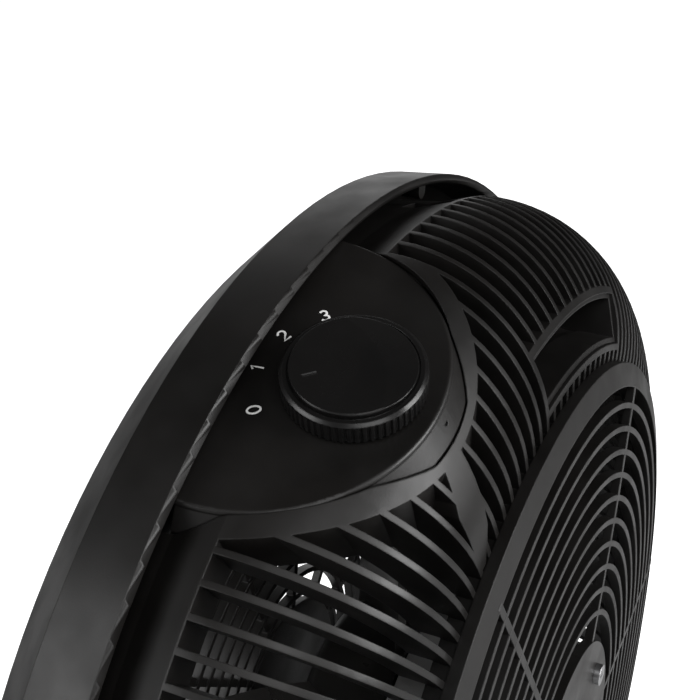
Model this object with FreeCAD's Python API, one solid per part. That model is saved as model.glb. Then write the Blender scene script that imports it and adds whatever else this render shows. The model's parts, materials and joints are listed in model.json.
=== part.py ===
"""Round three-speed box fan: hoop, ribbed rear shell, guards, control panel, motor, impeller and feet.

Frame: +Z up, the fan axis runs along Y, air leaves towards -Y and the ribbed rear faces +Y.
The origin is on the floor, under the fan axis, in the plane of the hoop's rear edge.
The fan itself is built with its axis through the origin and lifted by AXIS_HEIGHT when it is written.
Angles are measured round the axis from 12 o'clock (+Z) towards +X.  Lengths are millimetres.
"""
import FreeCAD, Part
import math
import os
from FreeCAD import Placement, Rotation, Vector

# ---------------------------------------------------------------- driving dimensions
# hoop (front ring)
HOOP_RADIUS = 200.0         # outside, at the rear lip
HOOP_WALL = 3.0
HOOP_BAND = 17.8            # depth of the near-cylindrical band
HOOP_DRAFT = 1.4            # how much the band narrows over its depth
CHAMFER_DEPTH = 15.9
CHAMFER_DROP = 15.0
LIP_ROUND = 1.2
FLANGE_WIDTH = 9.6          # inner flange that carries the front guard
FLANGE_THICK = 2.5

# rear shell
SHELL_GAP = 9.5             # radial gap between the hoop's outside and the shell's band
BAND_FLARE = 3.9
BAND_DEPTH = 13.65          # band between the hoop and the first rib
BAND_WALL = 2.5
BAND_TUCK = 20.0            # how far the shell reaches inside the hoop
DOME_ROUND = 49.0           # radius of the ribbed shoulder
RIB_COUNT = 150
RIB_THICK = 1.8
RIB_DEPTH = 12.0
RIM_WIDTH = 7.0             # seat of the rear guard
RIM_THICK = 5.0
BOSS_COUNT = 8
BOSS_RADIUS = 4.0
CASE_SCREW = 1.6

# grip recess at 12 o'clock
GRIP_HALF_ANGLE = 15.1
GRIP_BAR = 2.2              # width of the bars above and below the recess
GRIP_OPENING = 16.4         # radial height of the recess
GRIP_LOWER = 3.8            # length of the short ribs under the lower bar
GRIP_WALL = 1.6
GRIP_REACH = 30.0           # depth of the recess

# locating notch in the band and its tab on the hoop
NOTCH_ANGLE = -1.8
NOTCH_WIDTH = 11.0
NOTCH_DEPTH = 4.5
TAB_WIDTH = 5.0

# control panel
PANEL_ANGLE = 30.0
PANEL_TILT = 7.3
PANEL_RADIUS = 53.0         # at the foot of its sloping side wall
PANEL_FACE_RADIUS = 49.2    # at the flat face
PANEL_SLOPE_DEPTH = 7.0
PANEL_SKIRT = 9.0
PANEL_WALL = 2.5
PANEL_ROUND = 1.2
PANEL_TUCK = 6.0            # how far the panel reaches under the hoop
SURROUND_WIDTH = 2.6
LEDGE_WIDTH = 6.4
PANEL_GAP = 0.5
PANEL_BOSS = 2.8
STRUT_WIDTH = 8.5

# speed switch and knob
SWITCH_OFFSET = 25.6        # knob axis behind the hoop's rear edge
KNOB_RADIUS = 19.1
KNOB_KNURL_TOP = 7.2
KNOB_FACE_RADIUS = 16.2
KNOB_HEIGHT = 8.7
KNOB_LIFT = 0.7             # gap between the knob and the panel
KNOB_WALL = 2.0
KNURL_COUNT = 62
KNURL_GROOVE = 0.55
SCOOP_RADIUS = 27.2
SCOOP_CENTRE = (12.7, -15.0)
SCOOP_SLOPE = 9.0
POINTER_ANGLE = -51.0
POINTER_FROM = 9.5
POINTER_TO = 13.3
SPINDLE_RADIUS = 3.0
SPINDLE_FLAT = 1.0
CLIP_THICK = 0.3
BUSH_RADIUS = 4.5
SWITCH_SIZE = (26.0, 24.0, 15.0)
RUNNING_FIT = 0.05

# motor and impeller
MOTOR_RADIUS = 46.0
STACK_LENGTH = 16.0
BELL_LENGTH = 16.0
BELL_WALL = 2.0
STATOR_BORE = 25.0
AIR_GAP = 0.5
SHAFT_RADIUS = 4.0
BEARING_RADIUS = 8.0
BEARING_LENGTH = 10.0
STANDOFF = 3.0
MOTOR_BOLT_CIRCLE = 38.0
TIP_CLEARANCE = 24.0
HUB_RADIUS = 40.0
HUB_LENGTH = 30.0
HUB_WALL = 2.5
BLADE_COUNT = 5
BLADE_THICK = 2.6

# guards
GUARD_PITCH = 8.1
BAR_WIDTH = 2.0
BAR_DEPTH = 3.6
SPOKE_WIDTH = 2.5
REAR_FLANGE = 7.8
REAR_FLANGE_EDGE = 3.6
REAR_FLANGE_SLOPE = 2.1
REAR_CROWN = 4.2
REAR_SPOKES = 6
REAR_SPOKE_ANGLE = -21.0
FRONT_CROWN = 6.0
FRONT_SPOKES = 12
FRONT_DISC = 34.0
BADGE_RADIUS = 27.0

# feet
GROUND_GAP = 14.0           # floor to the underside of the hoop
FOOT_SPACING = 210.0
FOOT_LENGTH = 164.0
FOOT_WIDTH = 22.0
FOOT_HEIGHT = 12.0
SADDLE_WIDTH = 40.0
PAD_RADIUS = 7.0
PAD_HEIGHT = 4.0

# mains inlet
INLET_ANGLE = 120.0
GLAND_RADIUS = 5.0
LEAD_RADIUS = 2.6

# ---------------------------------------------------------------- derived sizes
AXIS_HEIGHT = HOOP_RADIUS + GROUND_GAP
CREASE_RADIUS = HOOP_RADIUS - HOOP_DRAFT
FRONT_RADIUS = CREASE_RADIUS - CHAMFER_DROP
FRONT_Y = -(HOOP_BAND + CHAMFER_DEPTH)
RECESS_RADIUS = FRONT_RADIUS - HOOP_WALL * 0.8
FLANGE_Y = FRONT_Y + FLANGE_THICK
FLANGE_INNER = FRONT_RADIUS - FLANGE_WIDTH
BAND_RADIUS = HOOP_RADIUS - SHELL_GAP
BAND_END = BAND_RADIUS + BAND_FLARE
TUCK_RADIUS = BAND_RADIUS - 2.0
DOME_CENTRE = BAND_END - DOME_ROUND
DOME_TOP = BAND_DEPTH + DOME_ROUND
RIM_INNER = DOME_CENTRE - RIM_WIDTH
PITCH = 360.0 / RIB_COUNT
SLOT_START = BAND_DEPTH + 0.4
SLOT_INNER = DOME_CENTRE - 0.8
GRIP_LOW_IN = DOME_CENTRE + GRIP_LOWER
GRIP_LOW_OUT = GRIP_LOW_IN + GRIP_BAR
GRIP_TOP_IN = GRIP_LOW_OUT + GRIP_OPENING
GRIP_TOP_OUT = GRIP_TOP_IN + GRIP_BAR
SCREW_CIRCLE = (FLANGE_INNER + RECESS_RADIUS) / 2
PANEL_PLANE = BAND_RADIUS - 0.25
REAR_FACE = DOME_TOP + REAR_FLANGE_EDGE
GUARD_RADIUS = DOME_CENTRE - REAR_FLANGE
GUARD_Y = REAR_FACE + REAR_FLANGE_SLOPE
PLATE_FRONT = GUARD_Y + REAR_CROWN - BAR_DEPTH
MOTOR_REAR = PLATE_FRONT - STANDOFF
STACK_REAR = MOTOR_REAR - BELL_LENGTH
STACK_FRONT = STACK_REAR - STACK_LENGTH
MOTOR_FRONT = STACK_FRONT - BELL_LENGTH
PLATE_RADIUS = MOTOR_RADIUS + 2.0
IMPELLER_RADIUS = FLANGE_INNER - TIP_CLEARANCE
HUB_REAR = MOTOR_FRONT - 4.0
HUB_FRONT = HUB_REAR - HUB_LENGTH
SHAFT_FRONT = HUB_FRONT - 8.0
FOOT_X = FOOT_SPACING / 2

AXIS = Vector(0, 1, 0)
ORIGIN = Vector(0, 0, 0)
PANEL_PLACE = Placement(ORIGIN, Rotation(AXIS, PANEL_ANGLE)).multiply(
    Placement(Vector(0, 0, PANEL_PLANE), Rotation(Vector(1, 0, 0), -PANEL_TILT)))


# ---------------------------------------------------------------- shape helpers
def closed_face(path, point):
    """Flat face inside a closed path: (a, b) is a corner, (am, bm, a, b) an arc through (am, bm)."""
    here = point(*path[0])
    edges = []
    for step in path[1:] + [path[0]]:
        target = point(*step[-2:])
        if len(step) == 4:
            edges.append(Part.Arc(here, point(*step[:2]), target).toShape())
        else:
            edges.append(Part.makeLine(here, target))
        here = target
    return Part.Face(Part.Wire(edges))


def at_angle(shape, angle):
    """The shape turned round the fan axis from 12 o'clock to the given angle."""
    return shape.rotated(ORIGIN, AXIS, angle)


def sector(path, start, end):
    """Part of a body of revolution between two angles; the path holds (radius, y) steps."""
    face = closed_face(path, lambda radius, y: Vector(radius, y, 0))
    return at_angle(face.revolve(ORIGIN, AXIS, end - start), start - 90)


def lathe(path):
    """Whole body of revolution about the fan axis."""
    return sector(path, 0, 360)


def ring(outer, inner, front, rear):
    """Flat ring about the fan axis."""
    return lathe([(inner, front), (outer, front), (outer, rear), (inner, rear)])


def rod(radius, front, rear, x=0.0, z=0.0):
    """Cylinder along Y."""
    return Part.makeCylinder(radius, rear - front, Vector(x, front, z), AXIS)


def block(x_range, y_range, z_range):
    """Box between the given limits."""
    size = [high - low for low, high in (x_range, y_range, z_range)]
    return Part.makeBox(*size, Vector(x_range[0], y_range[0], z_range[0]))


def prism_y(path, front, rear):
    """Prism along Y over a path of (x, z) steps."""
    face = closed_face(path, lambda x, z: Vector(x, front, z))
    return face.extrude(Vector(0, rear - front, 0))


def prism_z(path, low, high):
    """Prism along Z over a path of (x, y) steps."""
    face = closed_face(path, lambda x, y: Vector(x, y, low))
    return face.extrude(Vector(0, 0, high - low))


def upright(radius, low, high, x=0.0, y=0.0):
    """Cylinder along Z."""
    return Part.makeCylinder(radius, high - low, Vector(x, y, low))


def on_panel(shape):
    """A shape built on the XY plane, moved so that this plane is the panel's face."""
    moved = shape.copy()
    moved.Placement = PANEL_PLACE.multiply(shape.Placement)
    return moved


def spread(shape, count, first=0.0):
    """Evenly turned copies round the fan axis."""
    return [at_angle(shape, first + 360.0 * i / count) for i in range(count)]


def merge(first, others):
    """One solid from pieces that touch or overlap."""
    return first.multiFuse(others).removeSplitter()


def save(name, *solids):
    """Write one node, lifted so that the floor is at Z = 0."""
    shape = solids[0] if len(solids) == 1 else Part.makeCompound(list(solids))
    placed = shape.copy()
    placed.translate(Vector(0, 0, AXIS_HEIGHT))
    placed.exportStep("parts/%s.step" % name)
    print(name, len(placed.Solids), placed.isValid(), round(placed.Volume))


# ---------------------------------------------------------------- hoop
def front_ring():
    slope = CHAMFER_DROP / CHAMFER_DEPTH
    inner_crease = CREASE_RADIUS - HOOP_WALL
    flange_back = FLANGE_Y + FLANGE_THICK
    inner_y = -(HOOP_BAND - HOOP_WALL * 0.45)
    hoop = lathe([
        (HOOP_RADIUS - HOOP_WALL, 0),
        (HOOP_RADIUS - HOOP_WALL / 2, LIP_ROUND, HOOP_RADIUS, 0),
        (CREASE_RADIUS, -HOOP_BAND),
        (FRONT_RADIUS, FRONT_Y),
        (RECESS_RADIUS, FRONT_Y),
        (RECESS_RADIUS, FLANGE_Y),
        (FLANGE_INNER, FLANGE_Y),
        (FLANGE_INNER, flange_back),
        (inner_crease + (flange_back - inner_y) * slope, flange_back),
        (inner_crease, inner_y),
    ])
    tab_low = BAND_RADIUS + 2.0
    wall = HOOP_RADIUS - HOOP_WALL + 1.0
    half = TAB_WIDTH / 2
    tab = prism_y([(-half, wall), (-half, tab_low + half), (0, tab_low, half, tab_low + half), (half, wall)],
                  -7.0, -0.5)
    hoop = merge(hoop, [at_angle(tab, NOTCH_ANGLE)])
    hole = rod(CASE_SCREW + 0.3, FRONT_Y - 1, flange_back + 1, 0, SCREW_CIRCLE)
    return hoop.cut(spread(hole, BOSS_COUNT, 180.0 / BOSS_COUNT)).cut(foot_screw_holes())


# ---------------------------------------------------------------- rear shell
def slot(inner, outer):
    """Space between two parallel-sided ribs at 12 o'clock, between two radii."""
    half_pitch = math.radians(PITCH / 2)
    inset = RIB_THICK / 2 / math.cos(half_pitch)
    half_in = inner * math.tan(half_pitch) - inset
    half_out = outer * math.tan(half_pitch) - inset
    return prism_y([(-half_in, inner), (-half_out, outer), (half_out, outer), (half_in, inner)],
                   SLOT_START, DOME_TOP + 8)


def strut():
    """Outline of the solid strut that leans inwards from the control panel's surround and ends in a rib."""
    width = STRUT_WIDTH
    path = [(0.5, 32), (width, 32), (width * 2, 19.5), (width * 2 + 2, 7), (width * 2 + 1.5, 0),
            (width * 2 - 1.5, 0), (width + 0.5, 9)]
    return at_angle(prism_y([(x, DOME_CENTRE + z) for x, z in path], 0, DOME_TOP + 20), PANEL_ANGLE)


def slots():
    """All the spaces between the ribs, kept clear of the grip, the panel's surround and the strut."""
    reach = BAND_END + 10
    whole = slot(SLOT_INNER, reach)
    above_grip = slot(GRIP_TOP_OUT, reach)
    below_grip = slot(SLOT_INNER, GRIP_LOW_IN)
    surround = on_panel(prism_z(half_disc(PANEL_RADIUS + SURROUND_WIDTH, -30), -70, 30))
    keep = [surround, strut()]
    side = math.degrees(math.atan2(PANEL_RADIUS + SURROUND_WIDTH, BAND_RADIUS)) + PITCH
    cutters = []
    for i in range(RIB_COUNT):
        angle = (i * PITCH + 180.0) % 360.0 - 180.0
        if abs(angle) < GRIP_HALF_ANGLE:
            cutters += [at_angle(above_grip, angle), at_angle(below_grip, angle)]
        elif abs(angle - PANEL_ANGLE) < side:
            cutters += at_angle(whole, angle).cut(keep).Solids
        else:
            cutters.append(at_angle(whole, angle))
    return cutters


def rear_shell():
    bend = math.sqrt(0.5)
    inner_round = DOME_ROUND - RIB_DEPTH
    gusset_y = BAND_DEPTH - 2.0
    inner_band = BAND_RADIUS - BAND_WALL
    shell = lathe([
        (TUCK_RADIUS - BAND_WALL, -BAND_TUCK),
        (TUCK_RADIUS, -BAND_TUCK),
        (BAND_RADIUS, 0),
        (BAND_END, BAND_DEPTH),
        (DOME_CENTRE + DOME_ROUND * bend, BAND_DEPTH + DOME_ROUND * bend, DOME_CENTRE, DOME_TOP),
        (RIM_INNER, DOME_TOP),
        (RIM_INNER, DOME_TOP - RIM_THICK),
        (DOME_CENTRE, DOME_TOP - RIM_THICK),
        (DOME_CENTRE, BAND_DEPTH + inner_round),
        (DOME_CENTRE + inner_round * bend, BAND_DEPTH + inner_round * bend,
         DOME_CENTRE + inner_round, BAND_DEPTH),
        (DOME_CENTRE + inner_round, gusset_y),
        (inner_band, 4.0),
        (inner_band, 0),
    ])
    half = NOTCH_WIDTH / 2
    notch_floor = BAND_RADIUS - NOTCH_DEPTH
    pocket = at_angle(block((-half - 2, half + 2), (-7, BAND_DEPTH - 1), (notch_floor - 2, BAND_RADIUS - 1)),
                      NOTCH_ANGLE)
    notch = at_angle(block((-half, half), (-5, BAND_DEPTH - 2), (notch_floor, BAND_END + 5)), NOTCH_ANGLE)
    post = rod(BOSS_RADIUS, FLANGE_Y + FLANGE_THICK, -BAND_TUCK + 8, 0, SCREW_CIRCLE)
    web = block((-1.5, 1.5), (FLANGE_Y + FLANGE_THICK + 2, -BAND_TUCK + 8),
                (SCREW_CIRCLE + 2, TUCK_RADIUS - BAND_WALL / 2))
    web_tip = block((-1.5, 1.5), (-BAND_TUCK, -BAND_TUCK + 8), (SCREW_CIRCLE + 2, TUCK_RADIUS - 0.5))
    web = web.common(block((-2, 2), (-BAND_TUCK, 0), (0, HOOP_RADIUS))).fuse(web_tip)
    posts = spread(post.fuse(web), BOSS_COUNT, 180.0 / BOSS_COUNT)
    pilots = spread(rod(CASE_SCREW, FLANGE_Y, -BAND_TUCK + 5, 0, SCREW_CIRCLE), BOSS_COUNT, 180.0 / BOSS_COUNT)
    grip = sector([(GRIP_LOW_OUT, 20), (GRIP_TOP_IN, 20), (GRIP_TOP_IN, DOME_TOP + 8),
                   (GRIP_LOW_OUT, DOME_TOP + 8)], -GRIP_HALF_ANGLE, GRIP_HALF_ANGLE)
    shell = shell.multiFuse([pocket] + posts)
    gland_hole = gland_place(Part.makeCylinder(GLAND_RADIUS, 40, Vector(0, 0, -20)))
    shell = shell.cut(grip).cut(panel_opening())
    shell = shell.cut(pilots + [notch, gland_hole] + panel_screw_holes())
    return shell.cut(slots())


def grip_insert():
    """Closed finger pocket behind the grip recess, with a scooped lower wall."""
    lip = DOME_TOP - 10.0
    floor = DOME_TOP - GRIP_REACH
    gap = 0.2
    low, high = GRIP_LOW_OUT + gap, GRIP_TOP_IN - gap
    top_lip = BAND_DEPTH + math.sqrt(DOME_ROUND ** 2 - (GRIP_TOP_IN - DOME_CENTRE) ** 2) - 1.0
    low_lip = BAND_DEPTH + math.sqrt(DOME_ROUND ** 2 - (GRIP_LOW_OUT - DOME_CENTRE) ** 2) - 1.0
    outer = sector([(low, low_lip), (low, lip - 4), (low + 3, floor + 3, high - 4, floor), (high, floor + 4),
                    (high, top_lip)], -GRIP_HALF_ANGLE + gap / 2, GRIP_HALF_ANGLE - gap / 2)
    wall = GRIP_WALL
    side = math.degrees(wall / GRIP_LOW_OUT)
    inner = sector([(low + wall, DOME_TOP), (low + wall, lip - 4), (low + 3 + wall, floor + 3 + wall,
                    high - 4 - wall / 2, floor + wall), (high - wall, floor + 4 + wall),
                    (high - wall, DOME_TOP)],
                   -GRIP_HALF_ANGLE + side, GRIP_HALF_ANGLE - side)
    return outer.cut(inner)


# ---------------------------------------------------------------- guards
def grille(radii, height, spokes, first_angle, inner, outer):
    """Concentric bars on a crowned surface, joined by radial spokes that follow the crown."""
    bars = []
    for radius in radii:
        top = height(radius)
        bars.append(ring(radius + BAR_WIDTH / 2, radius - BAR_WIDTH / 2, top - BAR_DEPTH, top))
    middle = (inner + outer) / 2
    half = SPOKE_WIDTH / 2
    depth = BAR_DEPTH * 0.8
    face = closed_face([(inner, height(inner)), (middle, height(middle), outer, height(outer)),
                        (outer, height(outer) - depth), (middle, height(middle) - depth, inner,
                        height(inner) - depth)], lambda z, y: Vector(-half, y, z))
    spoke = face.extrude(Vector(SPOKE_WIDTH, 0, 0))
    return bars, spread(spoke, spokes, first_angle)


def bar_radii(outer, inner):
    """Radii of the bars between two radii, at the guard's pitch."""
    count = int((outer - inner - BAR_WIDTH) / GUARD_PITCH)
    return [outer - GUARD_PITCH * 0.8 - GUARD_PITCH * i for i in range(count)]


def rear_guard():
    def height(radius):
        return GUARD_Y + REAR_CROWN * (1 - (radius / GUARD_RADIUS) ** 2)
    bars, spokes = grille(bar_radii(GUARD_RADIUS, PLATE_RADIUS), height, REAR_SPOKES, REAR_SPOKE_ANGLE,
                          PLATE_RADIUS - 2, GUARD_RADIUS + 1)
    flange = lathe([(GUARD_RADIUS, DOME_TOP - 2), (RIM_INNER - 0.3, DOME_TOP - 2), (RIM_INNER - 0.3, DOME_TOP),
                    (DOME_CENTRE + 0.2, DOME_TOP), (DOME_CENTRE + 0.2, REAR_FACE), (GUARD_RADIUS, GUARD_Y)])
    plate = rod(PLATE_RADIUS, PLATE_FRONT, PLATE_FRONT + BAR_DEPTH)
    standoffs = [rod(5.0, MOTOR_REAR, PLATE_FRONT, *spot) for spot in motor_bolt_spots()]
    guard = merge(flange, bars + spokes + [plate] + standoffs)
    holes = [rod(2.2, MOTOR_REAR - 1, PLATE_FRONT + BAR_DEPTH + 1, *spot) for spot in motor_bolt_spots()]
    return guard.cut(holes)


def front_guard():
    def height(radius):
        return -(FRONT_Y - FRONT_CROWN * (1 - (radius / FLANGE_INNER) ** 2))
    bars, spokes = grille(bar_radii(FLANGE_INNER, FRONT_DISC), height, FRONT_SPOKES, 0.0,
                          FRONT_DISC - 2, FLANGE_INNER - 0.5)
    disc = rod(FRONT_DISC, -FRONT_Y + FRONT_CROWN - BAR_DEPTH, -FRONT_Y + FRONT_CROWN)
    rim = ring(RECESS_RADIUS - 0.3, FLANGE_INNER - 2, -FLANGE_Y, -FRONT_Y)
    guard = merge(rim, bars + spokes + [disc])
    seat = rod(BADGE_RADIUS, -FRONT_Y + FRONT_CROWN - 1.2, -FRONT_Y + FRONT_CROWN + 1)
    screw_hole = rod(CASE_SCREW + 0.3, -FRONT_Y - 5, -FRONT_Y + 1, 0, SCREW_CIRCLE)
    guard = guard.cut([seat] + spread(screw_hole, BOSS_COUNT, 180.0 / BOSS_COUNT))
    return guard.rotated(ORIGIN, Vector(0, 0, 1), 180)


def front_badge():
    rear = FRONT_Y - FRONT_CROWN + 1.2
    edge = BADGE_RADIUS - 0.1
    return lathe([(0, rear), (edge, rear), (edge, rear - 1.4), (edge - 0.4, rear - 2.4, edge - 1.6, rear - 2.9),
                  (0, rear - 2.9)])


# ---------------------------------------------------------------- screws
def screw(radius, head_radius, head, length):
    """Pan-head screw along -Y: the head's seat is at Y = 0 and the shank runs towards +Y."""
    shank = rod(radius, -0.5, length)
    cap = rod(head_radius, -head, 0)
    cross = block((-head_radius * 0.55, head_radius * 0.55), (-head - 1, -head * 0.45), (-0.35, 0.35))
    return cap.fuse(shank).cut([cross, cross.rotated(ORIGIN, AXIS, 90)])


def case_screws():
    one = screw(CASE_SCREW, CASE_SCREW * 1.9, 1.6, 11.0)
    one.translate(Vector(0, FRONT_Y, SCREW_CIRCLE))
    return spread(one, BOSS_COUNT, 180.0 / BOSS_COUNT)


# ---------------------------------------------------------------- control panel
def half_disc(radius, front):
    """D-shaped path: a half circle behind the hoop's edge, square down to the given front line."""
    return [(radius, front), (radius, 0), (0, radius, -radius, 0), (-radius, front)]


def half_turned(path):
    """Half a body of revolution about the panel's normal, behind the hoop's edge; (radius, z) steps."""
    face = closed_face(path, lambda radius, z: Vector(radius, 0, z))
    return face.revolve(ORIGIN, Vector(0, 0, 1), 180)


def panel_opening():
    """Space cut in the rear shell: the panel's outline, and a smaller well that leaves a ledge."""
    rim = PANEL_RADIUS + PANEL_GAP
    well = PANEL_RADIUS - LEDGE_WIDTH
    brim = PANEL_FACE_RADIUS + PANEL_GAP
    turned = half_turned([(0, -60), (well, -60), (well, -PANEL_SKIRT), (rim, -PANEL_SKIRT),
                          (rim, -PANEL_SLOPE_DEPTH), (brim, -PANEL_ROUND), (brim, 30), (0, 30)])
    front = block((-rim, rim), (-PANEL_TUCK - 1, 0), (-PANEL_SKIRT - 6, 30))
    return on_panel(turned.fuse(front))


def panel_screw_spots():
    radius = PANEL_RADIUS - LEDGE_WIDTH / 2
    return [(radius * math.cos(math.radians(a)), radius * math.sin(math.radians(a))) for a in (28, 90, 152)]


def panel_screw_holes():
    holes = []
    for x, y in panel_screw_spots():
        holes.append(on_panel(upright(1.7, -30, -PANEL_SKIRT + 1, x, y)))
        holes.append(on_panel(upright(3.2, -40, -PANEL_SKIRT - 3, x, y)))
    return holes


def panel_skin(inset, low):
    """D-shaped block with a rounded edge and a sloping side wall, shrunk all over by an inset."""
    face, foot, edge = PANEL_FACE_RADIUS - inset, PANEL_RADIUS - inset, PANEL_ROUND
    steps = [(0, low), (foot, low), (foot, -PANEL_SLOPE_DEPTH), (face, -edge - 0.2),
             (face - edge * 0.3, -edge * 0.3 - inset * 0.9, face - edge, -inset), (0, -inset)]
    wide, narrow = face - 1, face - PANEL_TUCK - 1
    front = -PANEL_TUCK + inset
    tongue = [(wide, 0), (narrow, front), (-narrow, front), (-wide, 0)]
    return half_turned(steps).fuse(prism_z(tongue, low, -inset))


def control_panel():
    shell = panel_skin(0.0, -PANEL_SKIRT)
    panel = shell.cut(panel_skin(PANEL_WALL, -PANEL_SKIRT - 1))
    bosses = []
    for x, y in panel_screw_spots():
        bosses.append(upright(PANEL_BOSS, -PANEL_SKIRT, -PANEL_WALL / 2, x, y).common(shell))
    panel = panel.multiFuse(bosses)
    pilots = [upright(1.2, -PANEL_SKIRT - 1, -PANEL_WALL - 1, x, y) for x, y in panel_screw_spots()]
    bush_hole = upright(BUSH_RADIUS + 0.1, -10, 1, 0, SWITCH_OFFSET)
    return on_panel(panel.cut(pilots + [bush_hole]))


def panel_screws():
    screws = []
    for x, y in panel_screw_spots():
        one = screw(1.2, 2.8, 1.6, 7.5).rotated(ORIGIN, Vector(1, 0, 0), 90)
        one.translate(Vector(x, y, -PANEL_SKIRT - 3))
        screws.append(on_panel(one))
    return screws


# ---------------------------------------------------------------- switch and knob
def on_switch(shape):
    """A shape built about Z at the origin, moved to the switch axis on the panel."""
    moved = shape.copy()
    moved.translate(Vector(0, SWITCH_OFFSET, 0))
    return on_panel(moved)


def speed_knob():
    bevel = KNOB_RADIUS - 0.9
    groove = KNOB_FACE_RADIUS + 0.9
    face = closed_face([(0, KNOB_LIFT), (KNOB_RADIUS, KNOB_LIFT), (KNOB_RADIUS, KNOB_KNURL_TOP - 0.7),
                        (bevel, KNOB_KNURL_TOP), (groove, KNOB_KNURL_TOP), (groove, KNOB_KNURL_TOP - 0.5),
                        (KNOB_FACE_RADIUS + 0.4, KNOB_KNURL_TOP - 0.5),
                        (KNOB_FACE_RADIUS + 0.4, KNOB_HEIGHT - 0.5),
                        (KNOB_FACE_RADIUS + 0.28, KNOB_HEIGHT - 0.12, KNOB_FACE_RADIUS - 0.1, KNOB_HEIGHT),
                        (0, KNOB_HEIGHT)], lambda r, z: Vector(r, 0, z))
    knob = face.revolve(ORIGIN, Vector(0, 0, 1), 360)
    inside = KNOB_RADIUS - KNOB_WALL
    hollow = upright(inside, KNOB_LIFT - 1, KNOB_KNURL_TOP - 2.2).cut(upright(BUSH_RADIUS + 2.5, -1, 20))
    nut_space = upright(BUSH_RADIUS + 2.5 + 0.01, KNOB_LIFT - 1, 3.4)
    bore = spindle_section(0.02, KNOB_LIFT - 1, KNOB_KNURL_TOP - 0.6)
    flat = SPINDLE_RADIUS - SPINDLE_FLAT
    bore = bore.fuse(block((-1.5, 1.5), (0, flat + CLIP_THICK + 0.02), (KNOB_LIFT, KNOB_KNURL_TOP - 0.6)))
    x, y = SCOOP_CENTRE
    slope = math.tan(math.radians(SCOOP_SLOPE))
    low, high = KNOB_HEIGHT - 3.0, KNOB_HEIGHT + 1.0
    cone = Part.makeCone(SCOOP_RADIUS + 3.0 / slope, SCOOP_RADIUS - 1.0 / slope, high - low, Vector(x, y, low))
    scoop = upright(SCOOP_RADIUS + 60, low, high, x, y).cut(cone)
    scoop = scoop.common(upright(KNOB_FACE_RADIUS + 0.42, low - 1, high + 1))
    pointer = block((POINTER_FROM, POINTER_TO), (-0.3, 0.3), (KNOB_HEIGHT - 0.25, KNOB_HEIGHT + 1))
    pointer.rotate(ORIGIN, Vector(0, 0, 1), POINTER_ANGLE)
    one = upright(KNURL_GROOVE, KNOB_LIFT - 1, KNOB_KNURL_TOP - 0.9, KNOB_RADIUS + 0.1)
    grooves = [one.rotated(ORIGIN, Vector(0, 0, 1), 360.0 * i / KNURL_COUNT) for i in range(KNURL_COUNT)]
    return on_switch(knob.cut([hollow, nut_space, bore, scoop, pointer] + grooves))


def spindle_section(clearance, low, high):
    """D-shaped bar on the switch axis, grown by a clearance."""
    radius = SPINDLE_RADIUS + clearance
    flat = SPINDLE_RADIUS - SPINDLE_FLAT + clearance
    return upright(radius, low, high).cut(block((-10, 10), (flat, 10), (low - 1, high + 1)))


def switch_spindle():
    stem = upright(SPINDLE_RADIUS, -PANEL_WALL - 12.0, 3.4)
    rotor = upright(7.0, -PANEL_WALL - 10.0, -PANEL_WALL - 7.0)
    return on_switch(spindle_section(0.0, 3.4, KNOB_KNURL_TOP - 0.7).multiFuse([stem, rotor]))


def switch_body():
    width, depth, height = SWITCH_SIZE
    top = -PANEL_WALL
    box = block((-width / 2, width / 2), (-depth / 2, depth / 2), (top - height, top))
    box = box.makeFillet(1.5, [e for e in box.Edges if abs(e.tangentAt(e.FirstParameter).z) > 0.9])
    bush = upright(BUSH_RADIUS, top - 1, 2.2)
    cavity = upright(7.4, top - 12.0, top - 5.0)
    bore = upright(SPINDLE_RADIUS + RUNNING_FIT, top - 12.6, 3)
    return on_switch(box.fuse(bush).cut([cavity, bore]))


def switch_nut():
    across = BUSH_RADIUS + 1.9
    corners = [(across * math.cos(math.radians(a)), across * math.sin(math.radians(a)))
               for a in range(0, 360, 60)]
    return on_switch(prism_z(corners, 0.5, 2.2).cut(upright(BUSH_RADIUS, -1, 4)))


def switch_washer():
    return on_switch(upright(BUSH_RADIUS + 2.2, 0, 0.5).cut(upright(BUSH_RADIUS + 0.05, -1, 2)))


def knob_clip():
    """Spring steel tongue that lies on the spindle's flat inside the knob."""
    flat = SPINDLE_RADIUS - SPINDLE_FLAT
    return on_switch(block((-1.4, 1.4), (flat, flat + CLIP_THICK), (3.8, KNOB_KNURL_TOP - 0.9)))


def switch_terminals():
    width, depth, height = SWITCH_SIZE
    top = -PANEL_WALL - height
    blades = []
    for i in range(4):
        x = -9.0 + 6.0 * i
        blades.append(on_switch(block((x - 0.4, x + 0.4), (-2.4, 2.4), (top - 6.5, top))))
    return blades


# ---------------------------------------------------------------- motor
def motor_bolt_spots():
    """(x, z) of the four motor bolts."""
    return [(MOTOR_BOLT_CIRCLE * math.cos(math.radians(a)), MOTOR_BOLT_CIRCLE * math.sin(math.radians(a)))
            for a in (45, 135, 225, 315)]


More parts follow.
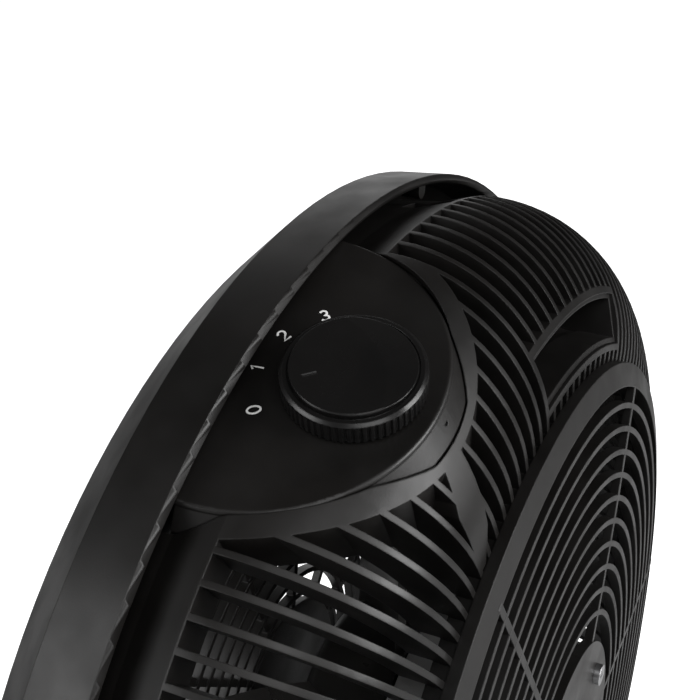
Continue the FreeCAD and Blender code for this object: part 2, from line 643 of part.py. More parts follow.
def bell(closed_y, open_y):
    """Motor end bell: a cup with a bearing pocket, vents and bolt holes; closed_y is its closed end."""
    inward = 1.0 if open_y > closed_y else -1.0
    inside = closed_y + inward * BELL_WALL
    low, high = sorted((closed_y, open_y))
    cup = rod(MOTOR_RADIUS, low, high)
    low, high = sorted((inside, open_y + inward))
    cavity = rod(MOTOR_RADIUS - BELL_WALL, low, high)
    low, high = sorted((closed_y, closed_y + inward * (BEARING_LENGTH + BELL_WALL)))
    housing = rod(BEARING_RADIUS + 2.0, low, high)
    low, high = sorted((inside, closed_y + inward * (BEARING_LENGTH + BELL_WALL + 1)))
    pocket = rod(BEARING_RADIUS, low, high)
    columns = [rod(4.5, min(inside, open_y), max(inside, open_y), *spot) for spot in motor_bolt_spots()]
    holes = [rod(2.1, min(closed_y, open_y) - 1, max(closed_y, open_y) + 1, *spot)
             for spot in motor_bolt_spots()]
    shaft_hole = rod(SHAFT_RADIUS + 1.0, closed_y - 5, closed_y + 5)
    vents = []
    for i in range(8):
        vent = block((-3.0, 3.0), (closed_y - 5, closed_y + 5), (14.0, 30.0))
        vents.append(at_angle(vent, 45.0 * i))
    return cup.cut(cavity).multiFuse([housing] + columns).cut([pocket, shaft_hole] + holes + vents)


def stator_core():
    core = ring(MOTOR_RADIUS, STATOR_BORE, STACK_FRONT, STACK_REAR)
    winding_slot = rod(4.0, STACK_FRONT - 1, STACK_REAR + 1, 0, STATOR_BORE + 4.6)
    mouth = block((-1.0, 1.0), (STACK_FRONT - 1, STACK_REAR + 1), (STATOR_BORE - 1, STATOR_BORE + 4))
    holes = [rod(2.1, STACK_FRONT - 1, STACK_REAR + 1, *spot) for spot in motor_bolt_spots()]
    return core.cut(spread(winding_slot.fuse(mouth), 16) + holes)


def winding(stack_end, direction):
    """End turns of the coils, a rounded ring standing off one end of the stack."""
    start = stack_end
    outer = STATOR_BORE + 8.0
    inner = STATOR_BORE + 1.2
    end = start + direction * 9.0
    return lathe([(inner, start), (outer, start), (outer, end - direction * 2),
                  ((outer + inner) / 2, end, inner, end - direction * 2)])


def rotor():
    radius = STATOR_BORE - AIR_GAP
    body = ring(radius, SHAFT_RADIUS, STACK_FRONT, STACK_REAR)
    end_ring = ring(radius - 2, radius - 8, STACK_REAR, STACK_REAR + 3)
    front_ring_end = ring(radius - 2, radius - 8, STACK_FRONT - 3, STACK_FRONT)
    return body.multiFuse([end_ring, front_ring_end])


def bearing(closed_y, direction):
    """Sintered sleeve bearing seated in a bell's pocket."""
    start = closed_y + direction * BELL_WALL
    low, high = sorted((start, start + direction * BEARING_LENGTH))
    return ring(BEARING_RADIUS, SHAFT_RADIUS + RUNNING_FIT, low, high)


def thrust_washer(closed_y, direction):
    start = closed_y + direction * (BELL_WALL + BEARING_LENGTH + 0.4)
    low, high = sorted((start, start + direction * 1.2))
    return ring(SHAFT_RADIUS + 3.0, SHAFT_RADIUS, low, high)


def motor_shaft():
    shaft = rod(SHAFT_RADIUS, SHAFT_FRONT, MOTOR_REAR - 0.6)
    pin_hole = Part.makeCylinder(1.5, 30, Vector(-15, pin_y(), 0), Vector(1, 0, 0))
    return shaft.cut(pin_hole)


def pin_y():
    return HUB_FRONT + HUB_WALL + 12.0


def drive_pin():
    return Part.makeCylinder(1.5, 15, Vector(-7.5, pin_y(), 0), Vector(1, 0, 0))


def motor_bolts():
    bolts = []
    for x, z in motor_bolt_spots():
        bolt = screw(2.0, 3.8, 2.2, MOTOR_REAR + STANDOFF + BAR_DEPTH - MOTOR_FRONT + 3.0)
        bolt = bolt.rotated(ORIGIN, Vector(0, 0, 1), 180)
        bolt.translate(Vector(x, PLATE_FRONT + BAR_DEPTH, z))
        bolts.append(bolt)
    return bolts


def motor_nuts():
    nuts = []
    for x, z in motor_bolt_spots():
        corners = [(x + 4.0 * math.cos(math.radians(a)), z + 4.0 * math.sin(math.radians(a)))
                   for a in range(0, 360, 60)]
        nuts.append(prism_y(corners, MOTOR_FRONT - 2.5, MOTOR_FRONT).cut(rod(2.0, MOTOR_FRONT - 5, 50, x, z)))
    return nuts


def capacitor():
    """Run capacitor box beside the motor, on the rear guard's plate side."""
    x = MOTOR_RADIUS + 3.0
    box = block((x, x + 17.0), (STACK_FRONT, STACK_FRONT + 26.0), (-17.0, 17.0))
    return box.makeFillet(1.5, box.Edges)


def capacitor_strap():
    """Steel band round the motor stack that carries the capacitor."""
    strap = ring(MOTOR_RADIUS + 0.9, MOTOR_RADIUS, STACK_FRONT + 3, STACK_FRONT + 11)
    tongue = block((MOTOR_RADIUS + 0.2, MOTOR_RADIUS + 3.0), (STACK_FRONT + 3, STACK_FRONT + 11), (-9.0, 9.0))
    return strap.fuse(tongue.cut(rod(MOTOR_RADIUS + 0.4, 0, 80)))


def thermal_fuse():
    y = STACK_REAR + 11.0
    return Part.makeCylinder(1.8, 11.0, Vector(-5.5, y, STATOR_BORE + 5.0), Vector(1, 0, 0))


# ---------------------------------------------------------------- impeller
def blade():
    """One pitched blade: thin curved sections lofted from the hub to the tip."""
    sections = []
    middle_y = (HUB_FRONT + HUB_REAR) / 2
    for share in (0.0, 0.35, 0.7, 1.0):
        radius = HUB_RADIUS - 4.0 + (IMPELLER_RADIUS - HUB_RADIUS + 4.0) * share
        pitch = math.radians(44.0 - 20.0 * share)
        chord = 40.0 + 50.0 * share - 22.0 * share ** 2
        camber = chord * 0.09
        half = BLADE_THICK / 2 * (1.2 - 0.4 * share)
        along = Vector(math.cos(pitch), math.sin(pitch), 0)
        across = Vector(-math.sin(pitch), math.cos(pitch), 0)
        centre = Vector(share * 9.0, middle_y, radius)

        def spot(a, b):
            return centre + along * (a * chord / 2) + across * b
        edges = [Part.Arc(spot(-1, -half), spot(0, camber - half), spot(1, -half)).toShape(),
                 Part.makeLine(spot(1, -half), spot(1, half)),
                 Part.Arc(spot(1, half), spot(0, camber + half), spot(-1, half)).toShape(),
                 Part.makeLine(spot(-1, half), spot(-1, -half))]
        sections.append(Part.Wire(edges))
    loft = Part.makeLoft(sections, True, False)
    trim = ring(IMPELLER_RADIUS, HUB_RADIUS - 1.0, HUB_FRONT - 20, HUB_REAR + 20)
    return loft.common(trim)


def impeller():
    cup = lathe([(SHAFT_RADIUS, HUB_FRONT), (HUB_RADIUS - 4, HUB_FRONT),
                 (HUB_RADIUS - 1.2, HUB_FRONT + 1.2, HUB_RADIUS, HUB_FRONT + 4), (HUB_RADIUS, HUB_REAR),
                 (HUB_RADIUS - HUB_WALL, HUB_REAR), (HUB_RADIUS - HUB_WALL, HUB_FRONT + HUB_WALL),
                 (9.0, HUB_FRONT + HUB_WALL), (9.0, pin_y()), (SHAFT_RADIUS, pin_y())])
    rib = block((-1.0, 1.0), (HUB_FRONT + 1.5, pin_y()), (8.0, HUB_RADIUS - 1.0))
    hub = cup.multiFuse(spread(rib, 6, 30.0) + spread(blade(), BLADE_COUNT))
    pin_slot = block((-9.5, 9.5), (pin_y() - 1.5, pin_y() + 2), (-1.5, 1.5))
    return hub.cut(pin_slot)


def spinner_nut():
    nut = lathe([(SHAFT_RADIUS, HUB_FRONT), (11.0, HUB_FRONT), (11.0, HUB_FRONT - 4), (8.5, HUB_FRONT - 9.0),
                 (0, HUB_FRONT - 9.8), (0, SHAFT_FRONT), (SHAFT_RADIUS, SHAFT_FRONT)])
    grip = rod(1.3, HUB_FRONT - 12, HUB_FRONT - 0.8, 0, 11.4)
    return nut.cut(spread(grip, 12))


# ---------------------------------------------------------------- feet
def foot_screw_spots(side):
    centre = math.degrees(math.atan2(side * FOOT_X, -math.sqrt(HOOP_RADIUS ** 2 - FOOT_X ** 2)))
    return [centre - 3.2, centre + 3.2]


def foot_screw_holes():
    holes = []
    for side in (-1, 1):
        for angle in foot_screw_spots(side):
            hole = Part.makeCylinder(1.9, 20, Vector(0, -HOOP_BAND / 2, HOOP_RADIUS - 10))
            holes.append(at_angle(hole, angle))
    return holes


def foot(side):
    """Moulded foot: a low rail along Y and a saddle that carries the hoop."""
    floor = -AXIS_HEIGHT
    low, high = floor + PAD_HEIGHT * 0.6, floor + PAD_HEIGHT * 0.6 + FOOT_HEIGHT
    half = FOOT_LENGTH / 2
    rise = 4.0
    profile = closed_face([(-half, low), (half, low), (half, high - rise),
                           (half - 3, high - 1, half - 10, high),
                           (-half + 10, high), (-half + 3, high - 1, -half, high - rise)],
                          lambda y, z: Vector(side * FOOT_X - FOOT_WIDTH / 2, y, z))
    rail = profile.extrude(Vector(FOOT_WIDTH, 0, 0))
    top = -math.sqrt(HOOP_RADIUS ** 2 - (FOOT_X + SADDLE_WIDTH / 2) ** 2)
    base = FOOT_WIDTH / 2
    reach = SADDLE_WIDTH / 2
    centre = side * FOOT_X
    saddle = prism_y([(centre - base, high - 2), (centre - reach, high + 12), (centre - reach, top + 10),
                      (centre + reach, top + 10), (centre + reach, high + 12), (centre + base, high - 2)],
                     -HOOP_BAND + 0.5, -0.5)
    brace = prism_y([(centre - 2, high - 2), (centre - 2, top), (centre + 2, top), (centre + 2, high - 2)],
                    -HOOP_BAND - 14, 14)
    hoop_space = lathe([(0, -HOOP_BAND - 20), (CREASE_RADIUS, -HOOP_BAND - 20), (CREASE_RADIUS, -HOOP_BAND),
                        (HOOP_RADIUS, 0), (HOOP_RADIUS, 25), (0, 25)])
    body = rail.multiFuse([saddle, brace]).cut(hoop_space)
    seats = [upright(PAD_RADIUS, low - 1, floor + PAD_HEIGHT, centre, y) for y in (-half + 12, half - 12)]
    pilots = []
    for angle in foot_screw_spots(side):
        pilot = Part.makeCylinder(1.4, 14, Vector(0, -HOOP_BAND / 2, HOOP_RADIUS - 3))
        pilots.append(at_angle(pilot, angle))
    return body.cut(seats + pilots)


def foot_pads():
    floor = -AXIS_HEIGHT
    pads = []
    for side in (-1, 1):
        for y in (-FOOT_LENGTH / 2 + 12, FOOT_LENGTH / 2 - 12):
            pads.append(upright(PAD_RADIUS - 0.1, floor, floor + PAD_HEIGHT, side * FOOT_X, y))
    return pads


def foot_screws():
    screws = []
    for side in (-1, 1):
        for angle in foot_screw_spots(side):
            one = screw(1.4, 3.2, 1.8, 12.0).rotated(ORIGIN, Vector(1, 0, 0), 90)
            one.translate(Vector(0, -HOOP_BAND / 2, HOOP_RADIUS - HOOP_WALL - HOOP_DRAFT))
            screws.append(at_angle(one, angle))
    return screws


# ---------------------------------------------------------------- wiring
def gland_place(shape):
    """A shape built about Z at the origin, moved to the mains inlet, its +Z pointing out of the shell."""
    moved = shape.copy()
    moved.translate(Vector(0, 0, BAND_RADIUS + BAND_FLARE / 2))
    moved.translate(Vector(0, BAND_DEPTH / 2, 0))
    return at_angle(moved, INLET_ANGLE)


def cord_gland():
    sleeve = upright(GLAND_RADIUS - 0.1, -6, 3)
    collar = upright(GLAND_RADIUS + 1.2, 2.5, 4.5)
    bore = upright(GLAND_RADIUS - 1.6, -10, 10)
    return gland_place(sleeve.fuse(collar).cut(bore))


def tube_arc(radius, y, tube, start, end):
    """Round lead lying on a circle about the fan axis."""
    circle = Part.Face(Part.Wire(Part.makeCircle(tube, Vector(radius, y, 0), Vector(0, 0, 1))))
    return at_angle(circle.revolve(ORIGIN, AXIS, end - start), start - 90)


def supply_lead():
    """Inner mains lead, clipped round the inside of the shell from the inlet to the switch."""
    return tube_arc(BAND_RADIUS - 9.0, -6.0, LEAD_RADIUS, PANEL_ANGLE + 12, INLET_ANGLE - 2)


def motor_lead():
    """Sleeved leads from below the switch to the motor."""
    start = Vector(0, MOTOR_REAR - 12.0, MOTOR_RADIUS + 1.5)
    end = Vector(0, SWITCH_OFFSET + 6.0, PANEL_PLANE - 36.0)
    return at_angle(Part.makeCylinder(LEAD_RADIUS, (end - start).Length, start, end - start), PANEL_ANGLE)


def main():
    os.makedirs("parts", exist_ok=True)
    save("front_ring", front_ring())
    save("rear_shell", rear_shell())
    save("grip_insert", grip_insert())
    save("rear_guard", rear_guard())
    save("front_guard", front_guard())
    save("front_badge", front_badge())
    save("case_screws", *case_screws())
    save("control_panel", control_panel())
    save("panel_screws", *panel_screws())
    save("speed_knob", speed_knob())
    save("knob_clip", knob_clip())
    save("switch_spindle", switch_spindle())
    save("switch_body", switch_body())
    save("switch_nut", switch_nut())
    save("switch_washer", switch_washer())
    save("switch_terminals", *switch_terminals())
    save("motor_rear_bell", bell(MOTOR_REAR, STACK_REAR))
    save("motor_front_bell", bell(MOTOR_FRONT, STACK_FRONT))
    save("stator_core", stator_core())
    save("winding_rear", winding(STACK_REAR, 1))
    save("winding_front", winding(STACK_FRONT, -1))
    save("thermal_fuse", thermal_fuse())
    save("rotor", rotor())
    save("motor_shaft", motor_shaft())
    save("rear_bearing", bearing(MOTOR_REAR, -1))
    save("front_bearing", bearing(MOTOR_FRONT, 1))
    save("rear_thrust_washer", thrust_washer(MOTOR_REAR, -1))
    save("front_thrust_washer", thrust_washer(MOTOR_FRONT, 1))
    save("motor_bolts", *motor_bolts())
    save("motor_nuts", *motor_nuts())
    save("capacitor", capacitor())
    save("capacitor_strap", capacitor_strap())
    save("impeller", impeller())
    save("drive_pin", drive_pin())
    save("spinner_nut", spinner_nut())
    save("foot_left", foot(1))
    save("foot_right", foot(-1))
    save("foot_pads", *foot_pads())
    save("foot_screws", *foot_screws())
    save("cord_gland", cord_gland())
    save("supply_lead", supply_lead())
    save("motor_lead", motor_lead())


main()
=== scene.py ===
"""Round floor fan seen from behind its shoulder: finishes, printed dial, lights and camera."""
import json
import math

import bpy
from mathutils import Matrix, Vector


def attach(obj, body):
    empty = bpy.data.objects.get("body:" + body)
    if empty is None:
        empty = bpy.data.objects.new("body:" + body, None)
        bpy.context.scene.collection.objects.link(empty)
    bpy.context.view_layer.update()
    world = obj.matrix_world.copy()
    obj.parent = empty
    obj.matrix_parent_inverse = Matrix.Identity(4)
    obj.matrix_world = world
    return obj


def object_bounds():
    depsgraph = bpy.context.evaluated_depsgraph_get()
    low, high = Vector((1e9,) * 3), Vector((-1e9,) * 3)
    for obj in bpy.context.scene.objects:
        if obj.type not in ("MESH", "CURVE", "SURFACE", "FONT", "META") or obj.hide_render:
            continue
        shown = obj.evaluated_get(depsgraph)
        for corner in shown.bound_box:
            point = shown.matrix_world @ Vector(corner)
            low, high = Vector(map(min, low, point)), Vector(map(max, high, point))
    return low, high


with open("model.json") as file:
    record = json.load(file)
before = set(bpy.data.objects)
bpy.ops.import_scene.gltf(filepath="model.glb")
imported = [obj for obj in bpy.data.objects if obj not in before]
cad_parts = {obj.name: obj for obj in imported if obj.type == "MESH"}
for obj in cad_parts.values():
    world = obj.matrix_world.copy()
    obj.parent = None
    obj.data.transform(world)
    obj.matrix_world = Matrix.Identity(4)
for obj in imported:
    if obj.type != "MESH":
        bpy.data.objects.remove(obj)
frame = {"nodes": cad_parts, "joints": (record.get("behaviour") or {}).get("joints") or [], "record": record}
cad_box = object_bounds()

# ---------------------------------------------------------------- camera, in metres and radians
CAMERA_PLACE = (0.36429, 0.14917, 0.48090)
CAMERA_TURN = 1.136           # from -Y towards -X
CAMERA_DIP = -0.310           # above the horizon
CAMERA_ROLL = 0.062
LENS = 63.24                  # millimetres, as the sensor
SENSOR = 36.0
NEAREST = 0.01
FARTHEST = 100.0

# ---------------------------------------------------------------- printed dial
DIAL_DIGITS = {"0": -51.0, "1": -82.0, "2": -110.0, "3": -138.0}    # degrees round the knob
DIGIT_HEIGHT = 0.0042
DIGIT_RING = 0.0266           # from the knob's axis to the middle of a digit
INK_THICK = 0.00006
INK_WIDTH = 0.15              # stroke, as a share of the height
INK_GRAIN = 0.0004
INK_ROUGHNESS = 0.5
INK_THIN = (0.78, 0.78, 0.77)
INK_FULL = (0.88, 0.88, 0.87)

# ---------------------------------------------------------------- studio
FLOOR_SIZE = 60.0
FLOOR_GLOW = 1.05             # the paper as the lens sees it
FLOOR_BOUNCE = 0.06           # the glow that the fan sees
FLOOR_GREY = (0.60, 0.60, 0.60, 1.0)
FLOOR_ROUGHNESS = 0.9
SKY_LIGHT = 0.06              # strength of the room's light, which the lens sees as plain white
WHITE = (1.0, 1.0, 1.0, 1.0)
SOFTBOXES = [                 # name, place, side in metres, watts
    ("rim", (-2.4, -1.9, 1.35), 2.4, 16.0),
    ("key", (-0.2, 2.0, 1.1), 1.2, 58.0),
    ("left", (2.2, -1.5, 1.0), 1.4, 34.0),
    ("fill", (1.6, 1.2, 1.8), 1.4, 24.0),
]

# ---------------------------------------------------------------- finishes
# dark and light colour; then roughness, size of the grain in metres, depth of the grain, metal,
# specular and edge lightening, which is wear and a painted highlight
FINISHES = {
    "black_plastic": ((0.0042, 0.0038, 0.0035), (0.0068, 0.0060, 0.0055),
                      0.42, 0.00045, 0.030, 0.0, 0.34, 0.05),
    "knob_plastic": ((0.0040, 0.0038, 0.0038), (0.0058, 0.0054, 0.0052),
                     0.27, 0.0009, 0.010, 0.0, 0.40, 0.04),
    "badge_plastic": ((0.0060, 0.0056, 0.0053), (0.0085, 0.0080, 0.0075),
                      0.30, 0.0007, 0.015, 0.0, 0.45, 0.05),
    "impeller_plastic": ((0.0110, 0.0105, 0.0100), (0.0170, 0.0160, 0.0150),
                         0.33, 0.0008, 0.020, 0.0, 0.45, 0.05),
    "screw_steel": ((0.32, 0.32, 0.33), (0.46, 0.46, 0.47),
                    0.34, 0.0006, 0.04, 1.0, 0.5, 0.25),
    "spring_steel": ((0.38, 0.38, 0.38), (0.52, 0.52, 0.51),
                     0.28, 0.0005, 0.03, 1.0, 0.5, 0.20),
    "shaft_steel": ((0.50, 0.50, 0.51), (0.62, 0.62, 0.63),
                    0.22, 0.0004, 0.03, 1.0, 0.5, 0.15),
    "switch_plastic": ((0.050, 0.048, 0.045), (0.072, 0.069, 0.064),
                       0.45, 0.0006, 0.03, 0.0, 0.5, 0.10),
    "contact_brass": ((0.52, 0.38, 0.14), (0.66, 0.50, 0.22),
                      0.30, 0.0005, 0.03, 1.0, 0.5, 0.20),
    "bell_metal": ((0.42, 0.42, 0.42), (0.55, 0.55, 0.54),
                   0.42, 0.0009, 0.08, 1.0, 0.5, 0.20),
    "lamination_steel": ((0.16, 0.16, 0.17), (0.28, 0.28, 0.29),
                         0.40, 0.0005, 0.10, 1.0, 0.5, 0.20),
    "winding_copper": ((0.42, 0.15, 0.05), (0.62, 0.25, 0.09),
                       0.32, 0.0008, 0.35, 1.0, 0.5, 0.20),
    "soft_rubber": ((0.010, 0.010, 0.010), (0.018, 0.018, 0.017),
                    0.72, 0.0008, 0.06, 0.0, 0.3, 0.03),
    "lead_sleeve": ((0.012, 0.012, 0.012), (0.020, 0.020, 0.019),
                    0.48, 0.0010, 0.03, 0.0, 0.4, 0.03),
}
CLOUD_SIZE = 0.035            # size of the slow changes of colour
GLOSS_CLOUD_SIZE = CLOUD_SIZE * 0.6
GLOSS_SPREAD = 0.07           # how far roughness strays either way
EDGE_RADIUS = 0.00045
EDGE_SAMPLES = 4
EDGE_START, EDGE_END = 0.75, 0.99    # cosine between the rounded and the flat normal
WEAR_AND_HIGHLIGHT_SHARE = 0.35             # how much of a finish's edge lightening brightens its edges: wear and a painted highlight
WEAR_AND_HIGHLIGHT_PATCH = 12               # size of a patch of lightened edge (wear and painted highlight), in grains
BUMP_GAIN = 10                # bump strength per unit of grain depth
BUMP_DEPTH = 0.12             # bump distance, in grains
SHARP_EDGE = 32.0             # degrees


def new_material(name):
    """Material with nodes, and its tree and shader."""
    material = bpy.data.materials.new(name)
    material.use_nodes = True
    tree = material.node_tree
    return material, tree, tree.nodes["Principled BSDF"]


def noise(tree, place, size, detail):
    """Noise whose features are about the given size in metres."""
    node = tree.nodes.new("ShaderNodeTexNoise")
    node.inputs["Scale"].default_value = 1.0 / size
    node.inputs["Detail"].default_value = detail
    tree.links.new(place, node.inputs["Vector"])
    return node.outputs["Fac"]


def ranged(tree, value, low, high, start=0.35, end=0.65):
    """Value spread from start..end to low..high."""
    node = tree.nodes.new("ShaderNodeMapRange")
    node.inputs["From Min"].default_value = start
    node.inputs["From Max"].default_value = end
    node.inputs["To Min"].default_value = low
    node.inputs["To Max"].default_value = high
    tree.links.new(value, node.inputs["Value"])
    return node.outputs["Result"]


def mixed(tree, factor, first, second):
    """Colour between two colours; each is a colour or an output."""
    node = tree.nodes.new("ShaderNodeMix")
    node.data_type = "RGBA"
    tree.links.new(factor, node.inputs["Factor"])
    for socket, value in ((node.inputs["A"], first), (node.inputs["B"], second)):
        if isinstance(value, bpy.types.NodeSocket):
            tree.links.new(value, socket)
        else:
            socket.default_value = (*value, 1.0)
    return node.outputs["Result"]


def rounded_edges(tree):
    """Normal that runs round sharp edges, and a mask that is high on them."""
    bevel = tree.nodes.new("ShaderNodeBevel")
    bevel.samples = EDGE_SAMPLES
    bevel.inputs["Radius"].default_value = EDGE_RADIUS
    geometry = tree.nodes.new("ShaderNodeNewGeometry")
    dot = tree.nodes.new("ShaderNodeVectorMath")
    dot.operation = "DOT_PRODUCT"
    tree.links.new(bevel.outputs["Normal"], dot.inputs[0])
    tree.links.new(geometry.outputs["Normal"], dot.inputs[1])
    mask = ranged(tree, dot.outputs["Value"], 1.0, 0.0, EDGE_START, EDGE_END)
    return bevel.outputs["Normal"], mask


def wear_and_highlight_patches(tree, place, edge, size):
    """The edge mask, broken into patches: where wear and a painted highlight lighten the edges."""
    product = tree.nodes.new("ShaderNodeMath")
    product.operation = "MULTIPLY"
    tree.links.new(edge, product.inputs[0])
    tree.links.new(ranged(tree, noise(tree, place, size, 2.0), 0.0, 1.0), product.inputs[1])
    return product.outputs["Value"]


def finish(name, dark, light, roughness, grain, depth, metal, specular, edge_wear_and_highlight):
    """Moulded or metal finish: cloudy colour, uneven gloss, fine grain, and edges painted lighter, as wear
    and as a painted highlight.
    """
    material, tree, shader = new_material(name)
    place = tree.nodes.new("ShaderNodeTexCoord").outputs["Object"]
    normal, edge = rounded_edges(tree)
    cloud = ranged(tree, noise(tree, place, CLOUD_SIZE, 4.0), 0.0, 1.0)
    # Painted highlight: every sharp edge gets a lighter colour, broken into patches, standing for wear and
    # for light caught on the edge.
    wear_and_highlight_colour = tuple(min(1.0, channel + edge_wear_and_highlight * WEAR_AND_HIGHLIGHT_SHARE) for channel in light)
    wear_and_highlight_mask = wear_and_highlight_patches(tree, place, edge, grain * WEAR_AND_HIGHLIGHT_PATCH)
    colour = mixed(tree, wear_and_highlight_mask, mixed(tree, cloud, dark, light), wear_and_highlight_colour)
    tree.links.new(colour, shader.inputs["Base Color"])
    gloss = ranged(tree, noise(tree, place, GLOSS_CLOUD_SIZE, 5.0),
                   roughness - GLOSS_SPREAD, roughness + GLOSS_SPREAD)
    tree.links.new(gloss, shader.inputs["Roughness"])
    bump = tree.nodes.new("ShaderNodeBump")
    bump.inputs["Strength"].default_value = depth * BUMP_GAIN
    bump.inputs["Distance"].default_value = grain * BUMP_DEPTH
    tree.links.new(noise(tree, place, grain, 3.0), bump.inputs["Height"])
    tree.links.new(normal, bump.inputs["Normal"])
    tree.links.new(bump.outputs["Normal"], shader.inputs["Normal"])
    shader.inputs["Metallic"].default_value = metal
    shader.inputs["Specular IOR Level"].default_value = specular
    return material


def ink():
    """White pad-printed ink, a little uneven."""
    material, tree, shader = new_material("dial_ink")
    place = tree.nodes.new("ShaderNodeTexCoord").outputs["Object"]
    cover = ranged(tree, noise(tree, place, INK_GRAIN, 2.0), 0.0, 1.0, 0.3, 0.6)
    tree.links.new(mixed(tree, cover, INK_THIN, INK_FULL), shader.inputs["Base Color"])
    shader.inputs["Roughness"].default_value = INK_ROUGHNESS
    return material


def dress_nodes():
    """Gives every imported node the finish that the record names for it, with crisp edges."""
    finishes = {name: finish(name, *values) for name, values in FINISHES.items()}
    for part in frame["record"]["subparts"]:
        node = frame["nodes"][part["node"]]
        node.data.shade_smooth()
        node.data.set_sharp_from_angle(angle=math.radians(SHARP_EDGE))
        node.modifiers.new("even_normals", "WEIGHTED_NORMAL").keep_sharp = True
        for slot in node.material_slots:
            slot.material = finishes[part["material_slot"]]


# ---------------------------------------------------------------- printed digits
def knob_frame():
    """Where the knob's axis meets the panel, and the panel's directions: along, back and out."""
    joint = next(j for j in frame["joints"] if j["name"] == "knob_turn")
    out = -Vector(joint["axis"]).normalized()
    along = Vector((0, 1, 0)).cross(out).normalized()
    return Vector(joint["pos_m"]), along, out.cross(along), out


def arc(middle, radius_x, radius_y, start, end, steps=20):
    """Points along part of an ellipse, between two angles in degrees."""
    turns = [math.radians(start + (end - start) * i / steps) for i in range(steps + 1)]
    return [(middle[0] + radius_x * math.cos(t), middle[1] + radius_y * math.sin(t)) for t in turns]


def digit_strokes():
    """Middle line of each digit, with a height of one and the origin in its middle."""
    return {
        "0": arc((0, 0), 0.28, 0.42, 0, 360, 40),
        "1": [(-0.17, 0.24), (0.06, 0.42), (0.06, -0.42)],
        "2": arc((0, 0.17), 0.25, 0.25, 170, -35) + [(-0.27, -0.42), (0.29, -0.42)],
        "3": arc((-0.01, 0.21), 0.22, 0.21, 150, -90) + arc((-0.01, -0.21), 0.26, 0.21, 90, -155),
    }


def digit_mesh(stroke):
    """Flat printed ribbon with soft edges along a digit's middle line."""
    line = bpy.data.curves.new("digit_line", "CURVE")
    line.dimensions = "3D"
    line.bevel_depth = INK_WIDTH / 2
    line.use_fill_caps = True
    spline = line.splines.new("POLY")
    spline.points.add(len(stroke) - 1)
    for point, (x, y) in zip(spline.points, stroke):
        point.co = (x, y, 0, 1)
    holder = bpy.data.objects.new("digit_line", line)
    bpy.context.scene.collection.objects.link(holder)
    bpy.context.view_layer.update()
    graph = bpy.context.evaluated_depsgraph_get()
    mesh = bpy.data.meshes.new_from_object(holder.evaluated_get(graph))
    bpy.data.objects.remove(holder)
    mesh.transform(Matrix.Scale(INK_THICK / (DIGIT_HEIGHT * INK_WIDTH), 4, (0, 0, 1)))
    return mesh


def print_digits():
    """The dial's digits on the panel, in a ring round the knob with their tops outwards."""
    centre, along, back, out = knob_frame()
    material = ink()
    strokes = digit_strokes()
    for digit, angle in DIAL_DIGITS.items():
        turn = math.radians(angle)
        up = along * math.cos(turn) + back * math.sin(turn)
        spot = centre + up * DIGIT_RING + out * INK_THICK
        turned = Matrix((up.cross(out), up, out)).transposed().to_4x4()
        mesh = digit_mesh(strokes[digit])
        mesh.transform(Matrix.Translation(spot) @ turned @ Matrix.Scale(DIGIT_HEIGHT, 4))
        mesh.materials.clear()
        mesh.materials.append(material)
        piece = bpy.data.objects.new("dial_digit_" + digit, mesh)
        bpy.context.scene.collection.objects.link(piece)
        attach(piece, "housing")


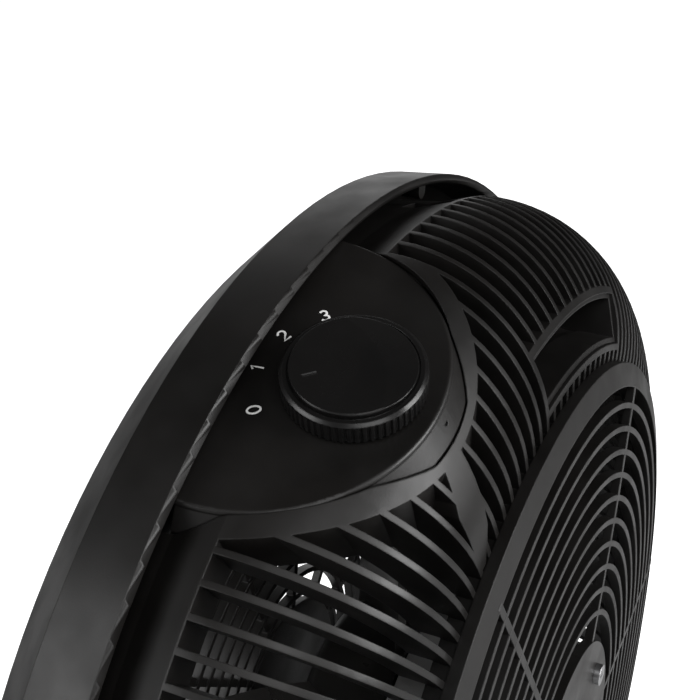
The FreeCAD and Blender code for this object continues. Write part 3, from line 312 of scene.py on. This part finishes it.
# ---------------------------------------------------------------- studio
def camera():
    """The camera behind and beside the fan, looking down on its shoulder."""
    data = bpy.data.cameras.new("camera")
    data.lens = LENS
    data.sensor_width = SENSOR
    data.clip_start = NEAREST
    data.clip_end = FARTHEST
    ahead = Vector((-math.sin(CAMERA_TURN) * math.cos(CAMERA_DIP),
                    -math.cos(CAMERA_TURN) * math.cos(CAMERA_DIP), math.sin(CAMERA_DIP)))
    right = ahead.cross(Vector((0, 0, 1))).normalized()
    up = right.cross(ahead)
    rolled_right = right * math.cos(CAMERA_ROLL) + up * math.sin(CAMERA_ROLL)
    rolled_up = up * math.cos(CAMERA_ROLL) - right * math.sin(CAMERA_ROLL)
    eye = bpy.data.objects.new("camera", data)
    axes = Matrix((rolled_right, rolled_up, -ahead)).transposed().to_4x4()
    eye.matrix_world = Matrix.Translation(CAMERA_PLACE) @ axes
    bpy.context.scene.collection.objects.link(eye)
    bpy.context.scene.camera = eye


def lens_and_room(tree, seen, felt):
    """One strength for the lens and another for the light that falls on the fan."""
    lens = tree.nodes.new("ShaderNodeLightPath").outputs["Is Camera Ray"]
    return ranged(tree, lens, felt, seen, 0.0, 1.0)


def softbox(name, place, target, size, power):
    """Square area light that faces the target."""
    data = bpy.data.lights.new(name, "AREA")
    data.size = size
    data.energy = power
    light = bpy.data.objects.new(name, data)
    light.location = place
    light.rotation_mode = "QUATERNION"
    light.rotation_quaternion = (Vector(target) - Vector(place)).to_track_quat("-Z", "Y")
    bpy.context.scene.collection.objects.link(light)


def floor():
    """Wide sheet of pale paper that the fan stands on."""
    half = FLOOR_SIZE / 2
    mesh = bpy.data.meshes.new("floor")
    corners = [(-half, -half, 0), (half, -half, 0), (half, half, 0), (-half, half, 0)]
    mesh.from_pydata(corners, [], [(0, 1, 2, 3)])
    material, tree, shader = new_material("floor_paper")
    shader.inputs["Base Color"].default_value = FLOOR_GREY
    shader.inputs["Roughness"].default_value = FLOOR_ROUGHNESS
    shader.inputs["Emission Color"].default_value = WHITE
    glow = lens_and_room(tree, FLOOR_GLOW, FLOOR_BOUNCE)
    tree.links.new(glow, shader.inputs["Emission Strength"])
    mesh.materials.append(material)
    sheet = bpy.data.objects.new("floor", mesh)
    bpy.context.scene.collection.objects.link(sheet)


def studio():
    """A dim white room and four softboxes that face the middle of the fan."""
    low, high = cad_box
    world = bpy.data.worlds.new("studio")
    world.use_nodes = True
    tree = world.node_tree
    tree.nodes["Background"].inputs["Color"].default_value = WHITE
    tree.links.new(lens_and_room(tree, 1.0, SKY_LIGHT), tree.nodes["Background"].inputs["Strength"])
    bpy.context.scene.world = world
    bpy.context.scene.view_settings.view_transform = "Standard"
    for name, place, size, power in SOFTBOXES:
        softbox(name, place, (low + high) / 2, size, power)


dress_nodes()
print_digits()
camera()
floor()
studio()
